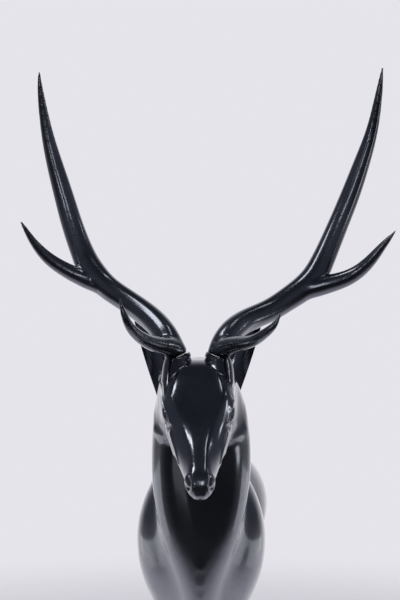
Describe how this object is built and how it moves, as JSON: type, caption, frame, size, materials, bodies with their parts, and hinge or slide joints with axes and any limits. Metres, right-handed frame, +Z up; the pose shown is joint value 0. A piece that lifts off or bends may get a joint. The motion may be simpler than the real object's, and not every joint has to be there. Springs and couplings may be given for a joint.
{
  "type": "bronze deer sculpture",
  "caption": "Standing bronze stag with tall swept antlers, smooth stylised body, on a low rounded plinth.",
  "frame": {"origin": "middle of the plinth's underside, where the sculpture rests", "axes": "+Z up, the stag faces -Y, +X towards the stag's own left side"},
  "size_m": [0.3195, 0.5095, 0.7386],
  "materials": {
    "patinated_bronze": "cast bronze with a blue-black patina, polished and waxed to a high gloss",
    "antler_bronze": "cast bronze with a blue-black patina, polished to a high gloss",
    "plinth_bronze": "cast bronze with a blue-black patina, satin top and polished edges"
  },
  "bodies": {
    "root": {"deer_body": "patinated_bronze", "antler_left": "antler_bronze", "antler_right": "antler_bronze", "base": "plinth_bronze"}
  },
  "joints": []
}
